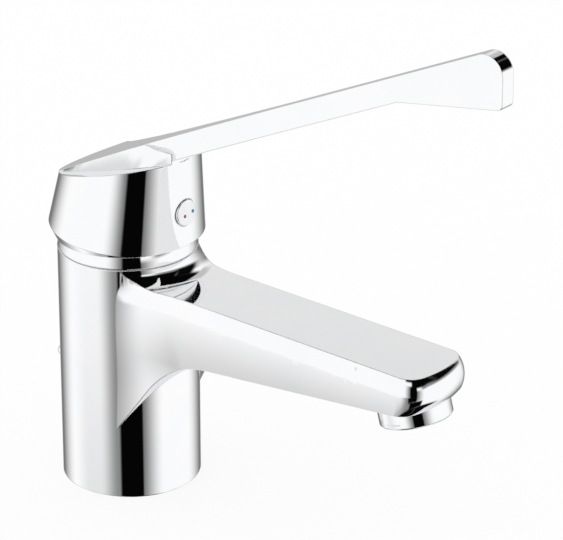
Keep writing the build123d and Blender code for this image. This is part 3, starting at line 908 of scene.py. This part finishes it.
@dataclass
class Aerator(SubAssembly):
    """Outlet ring with its insert, screen and washer."""

    body: str = "body"

    def pieces(self) -> tuple[Piece, ...]:
        """Names the ring that shows, and what it holds.

        Returns:
            The pieces, in the order in which they are dressed.
        """
        return (
            Piece("aerator_housing", self.body, CHROME, Shading.SMOOTH_COPY),
            Piece("aerator_insert", self.body, INSERT_WHITE),
            Piece("aerator_screen", self.body, STEEL),
            Piece("aerator_washer", self.body, RUBBER),
        )


# Studio
@dataclass(frozen=True)
class Card:
    """One sheet of the studio's surround, placed by bearing and height as mirrors see it.

    Bearing 0 lies behind the camera and grows to the image's right, height is above the
    horizon, both in degrees. The sheet fades out over the soft widths of its left, right,
    low and high edge. A card covers those before it.
    """

    name: str
    bearing: tuple[float, float]
    height: tuple[float, float]
    soft: tuple[float, float, float, float]
    tone: str


WHITE = "FFFFFF"
PAPER_TONE = "FAFAFA"
DEEP_TONE = "ECECEC"
CARDS = (
    Card("grey wall on the left", (-92, 0), (-90, -29.5), (36, 10, 10, 15), "B2B2B2"),
    Card("left shade toward the room, low", (-38, 0), (-90, -22), (34, 6, 10, 4), "8A8A8A"),
    Card("left shade toward the room, level", (-22, 0), (-22, 22), (32, 6, 4, 10), "626262"),
    Card("right shade toward the room", (0, 34), (-32, 5), (6, 44, 10, 10), "5A5A5A"),
    Card("far dusk", (134, 226), (-90, 20), (56, 56, 10, 20), "707070"),
    Card("far window, low", (170, 190), (-34, 8), (26, 26, 8, 10), "C4C4C4"),
    Card("far window, high", (164, 196), (10, 50), (26, 26, 10, 8), "E6E6E6"),
    Card("grey sky on the right", (42, 128), (5, 26), (20, 26, 6, 6), "909090"),
    Card("black sky on the far right", (80, 122), (10, 40), (14, 14, 4, 6), "080808"),
    Card("far ceiling", (146, 214), (29, 62), (12, 30, 8, 8), "C2C2C2"),
    Card("left ceiling", (-170, -60), (34, 64), (20, 20, 8, 8), "E0E0E0"),
    Card("dark room, low", (-19, 19), (-33, -22), (5, 3, 6, 3), "050505"),
    Card("dark room, level", (-10, 20), (-24, 20), (4, 3, 3, 8), "050505"),
    Card("dark floor, near", (-11, 48), (-47, -32), (8, 8, 5, 4), "050505"),
    Card("dark floor on the right", (22, 112), (-95, -46), (8, 8, 2, 5), "080808"),
    Card("dark floor below", (-58, 24), (-95, -44), (10, 8, 2, 8), "060606"),
    Card("black flag above right", (-4, 84), (14, 95), (8, 10, 8, 2), "050505"),
    Card("black ceiling", (-40, 147), (36, 95), (12, 8, 8, 2), "050505"),
    Card("black top", (-140, 160), (46, 95), (20, 20, 8, 2), "050505"),
)


@dataclass
class Studio:
    """Pale floor, soft white surround with cards, and the photograph's camera.

    floor_glow is the share of plain white in what the camera sees of the floor, and
    facing_deg the direction about Z of the cards' bearing 0. Beyond second_bounce
    mirror bounces the surround is one pale tone, so that images of images stay calm.
    """

    focal_px: float = 3522.9
    image_px: float = 563.0
    sensor_mm: float = 36.0
    camera_mm: tuple[float, float, float] = (737.6, -807.1, 572.9)
    turn_deg: float = 39.69
    pitch_deg: float = 24.52
    clip_end_mm: float = 20000.0
    facing_deg: float = -47.6
    second_bounce: float = 1.5
    floor_mm: float = 6000.0
    floor_glow: float = 0.88

    def build(self) -> None:
        """Makes the floor, the surround and the camera."""
        self.floor()
        self.surround()
        self.camera()

    def floor(self) -> None:
        """Large pale floor that takes the shadow and stays out of the chrome's mirror."""
        half = self.floor_mm * MM / 2
        corners = [(-half, -half, 0), (half, -half, 0), (half, half, 0), (-half, half, 0)]
        mesh = bpy.data.meshes.new("studio_floor")
        mesh.from_pydata(corners, [], [(0, 1, 2, 3)])
        floor = bpy.data.objects.new("studio_floor", mesh)
        bpy.context.scene.collection.objects.link(floor)
        made = bpy.data.materials.new("floor_paper")
        made.use_nodes = True
        tree = made.node_tree
        tree.nodes.clear()
        paper = add_node(tree, "ShaderNodeBsdfDiffuse", inputs={"Color": linear(PAPER_TONE)})
        glow = add_node(
            tree, "ShaderNodeEmission", inputs={"Color": linear(WHITE), "Strength": 1.0}
        )
        path = add_node(tree, "ShaderNodeLightPath")
        share = add_node(
            tree,
            "ShaderNodeMath",
            {"operation": "MULTIPLY"},
            {0: path.outputs["Is Camera Ray"], 1: self.floor_glow},
        )
        both = add_node(
            tree,
            "ShaderNodeMixShader",
            inputs={0: share.outputs[0], 1: paper.outputs[0], 2: glow.outputs[0]},
        )
        add_node(tree, "ShaderNodeOutputMaterial", inputs={"Surface": both.outputs[0]})
        mesh.materials.append(made)
        floor.visible_glossy = False

    def surround(self) -> None:
        """White to the camera; mirrors see the white surround with its cards."""
        world = bpy.data.worlds.new("studio_surround")
        bpy.context.scene.world = world
        world.use_nodes = True
        tree = world.node_tree
        tree.nodes.clear()
        look = add_node(tree, "ShaderNodeTexCoord")
        parts = add_node(tree, "ShaderNodeSeparateXYZ", inputs={0: look.outputs["Generated"]})
        around = add_node(
            tree,
            "ShaderNodeMath",
            {"operation": "ARCTAN2"},
            {0: parts.outputs["Y"], 1: parts.outputs["X"]},
        )
        rise = add_node(tree, "ShaderNodeMath", {"operation": "ARCSINE"}, {0: parts.outputs["Z"]})
        tone = add_node(tree, "ShaderNodeRGB").outputs[0]
        tone.default_value = linear(WHITE)
        for card in CARDS:
            tone = self.hang(tree, card, around.outputs[0], rise.outputs[0], tone)
        path = add_node(tree, "ShaderNodeLightPath")
        again = add_node(
            tree,
            "ShaderNodeMath",
            {"operation": "GREATER_THAN"},
            {0: path.outputs["Glossy Depth"], 1: self.second_bounce},
        )
        mirrored = add_node(
            tree,
            "ShaderNodeMix",
            {"data_type": "RGBA"},
            {"Factor": again.outputs[0], "A": tone, "B": linear(DEEP_TONE)},
        )
        seen = add_node(
            tree,
            "ShaderNodeMix",
            {"data_type": "RGBA"},
            {
                "Factor": path.outputs["Is Glossy Ray"],
                "A": linear(WHITE),
                "B": mix_colour(mirrored),
            },
        )
        sky = add_node(
            tree, "ShaderNodeBackground", inputs={"Color": mix_colour(seen), "Strength": 1.0}
        )
        add_node(tree, "ShaderNodeOutputWorld", inputs={"Surface": sky.outputs[0]})

    def hang(
        self,
        tree: bpy.types.NodeTree,
        card: Card,
        around: bpy.types.NodeSocket,
        rise: bpy.types.NodeSocket,
        behind: bpy.types.NodeSocket,
    ) -> bpy.types.NodeSocket:
        """Lays one card over what is behind it.

        The share of the card is the product of four smooth steps, one at each edge.

        Args:
            tree: World node tree.
            card: The card to hang.
            around: Direction about Z in radians.
            rise: Height above the horizon in radians.
            behind: Colour seen where the card isn't.

        Returns:
            The colour with the card in it.
        """
        middle = (card.bearing[0] + card.bearing[1]) / 2
        half = (card.bearing[1] - card.bearing[0]) / 2
        aside = add_node(
            tree,
            "ShaderNodeMath",
            {"operation": "SUBTRACT"},
            {0: around, 1: radians(self.facing_deg + middle)},
        )
        turned = add_node(
            tree, "ShaderNodeMath", {"operation": "WRAP"}, {0: aside.outputs[0], 1: -pi, 2: pi}
        )
        left, right, low, high = (width / 2 for width in card.soft)
        edges = (
            (turned.outputs[0], -half - left, -half + left),
            (turned.outputs[0], half + right, half - right),
            (rise, card.height[0] - low, card.height[0] + low),
            (rise, card.height[1] + high, card.height[1] - high),
        )
        share = None
        for value, outer, inner in edges:
            step = add_node(
                tree,
                "ShaderNodeMapRange",
                {"interpolation_type": "SMOOTHSTEP"},
                {"Value": value, "From Min": radians(outer), "From Max": radians(inner)},
            ).outputs["Result"]
            if share is not None:
                step = add_node(
                    tree, "ShaderNodeMath", {"operation": "MULTIPLY"}, {0: share, 1: step}
                ).outputs[0]
            share = step
        laid = add_node(
            tree,
            "ShaderNodeMix",
            {"data_type": "RGBA", "label": card.name},
            {"Factor": share, "A": behind, "B": linear(card.tone)},
        )
        return mix_colour(laid)

    def camera(self) -> None:
        """Camera solved from the photograph: turned about Z, then pitched down."""
        turn = radians(self.turn_deg)
        pitch = radians(self.pitch_deg)
        right = (cos(turn), sin(turn), 0.0)
        up = (-sin(turn) * sin(pitch), cos(turn) * sin(pitch), cos(pitch))
        back = (sin(turn) * cos(pitch), -cos(turn) * cos(pitch), sin(pitch))
        data = bpy.data.cameras.new("photo_camera")
        data.sensor_fit = "HORIZONTAL"
        data.sensor_width = self.sensor_mm
        data.lens = self.focal_px * self.sensor_mm / self.image_px
        data.clip_end = self.clip_end_mm * MM
        camera = bpy.data.objects.new("photo_camera", data)
        place = np.eye(4)
        place[:3, :3] = np.array((right, up, back)).T
        place[:3, 3] = np.array(self.camera_mm) * MM
        camera.matrix_world = Matrix(place.tolist())
        bpy.context.scene.collection.objects.link(camera)
        bpy.context.scene.camera = camera
        bpy.context.scene.view_settings.view_transform = "Standard"


def main() -> None:
    """Builds the tap's looks, one sub-assembly after the other, then the studio."""
    logging.basicConfig(level=logging.INFO)
    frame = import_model()
    for part in (TapBody(), LeverHood(), Cartridge(), Aerator()):
        part.build(frame)
        LOG.info("built %s", type(part).__name__)
    Studio().build()
    LOG.info("built studio")


if __name__ == "__main__":
    main()
